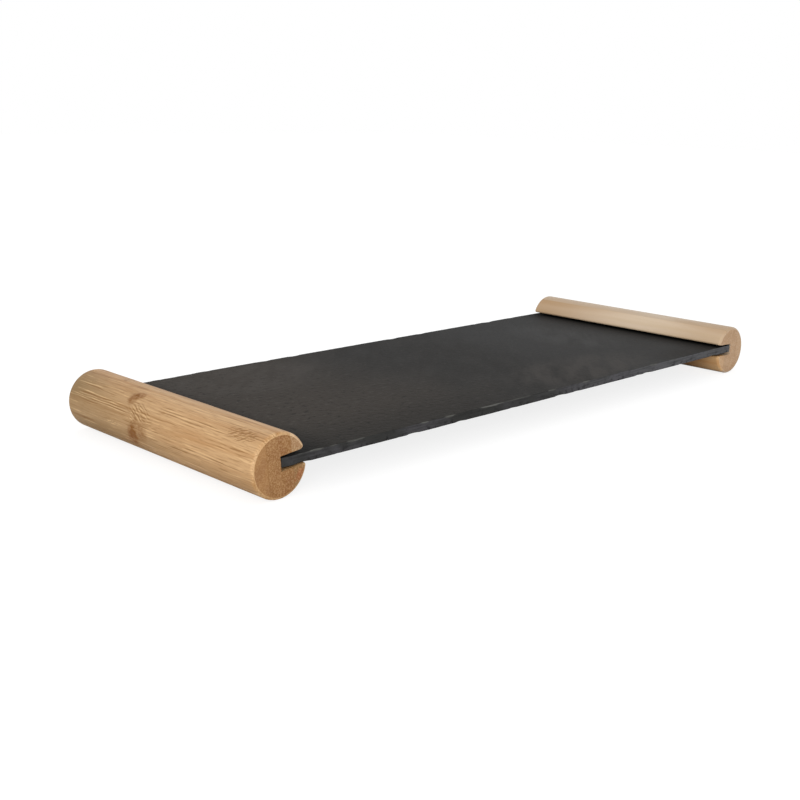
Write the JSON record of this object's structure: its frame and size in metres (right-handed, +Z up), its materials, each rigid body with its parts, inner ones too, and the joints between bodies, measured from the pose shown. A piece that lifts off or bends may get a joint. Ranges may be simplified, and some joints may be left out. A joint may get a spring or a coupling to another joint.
{
  "type": "slate serving board",
  "caption": "Rectangular slate slab for serving food, its short ends held loosely in grooves of round bamboo bars that serve as feet and handles.",
  "frame": {"origin": "On the table, under the middle of the board: the centre of the bottom of its bounding box.", "axes": "+X along the slab to the right bar, +Y along the bars to the back, +Z up."},
  "size_m": [0.4, 0.15, 0.03],
  "materials": {
    "slate": "riven, matt",
    "bamboo": "sanded, satin",
    "bamboo_pale": "sanded, satin"
  },
  "bodies": {
    "slab": {"slate_slab": "slate"},
    "handle_left": {"handle_left_outer_strip": "bamboo", "handle_left_middle_strip": "bamboo", "handle_left_groove_strip": "bamboo", "handle_left_upper_lip": "bamboo_pale", "handle_left_lower_lip": "bamboo"},
    "handle_right": {"handle_right_outer_strip": "bamboo_pale", "handle_right_middle_strip": "bamboo_pale", "handle_right_groove_strip": "bamboo_pale", "handle_right_upper_lip": "bamboo_pale", "handle_right_lower_lip": "bamboo_pale"}
  },
  "joints": [
    {"name": "handle_left_pull_off", "type": "slide", "parent": "slab", "child": "handle_left", "axis": [-1, 0, 0], "range_m": [0, 0.02]},
    {"name": "handle_right_pull_off", "type": "slide", "parent": "slab", "child": "handle_right", "axis": [1, 0, 0], "range_m": [0, 0.02]}
  ]
}
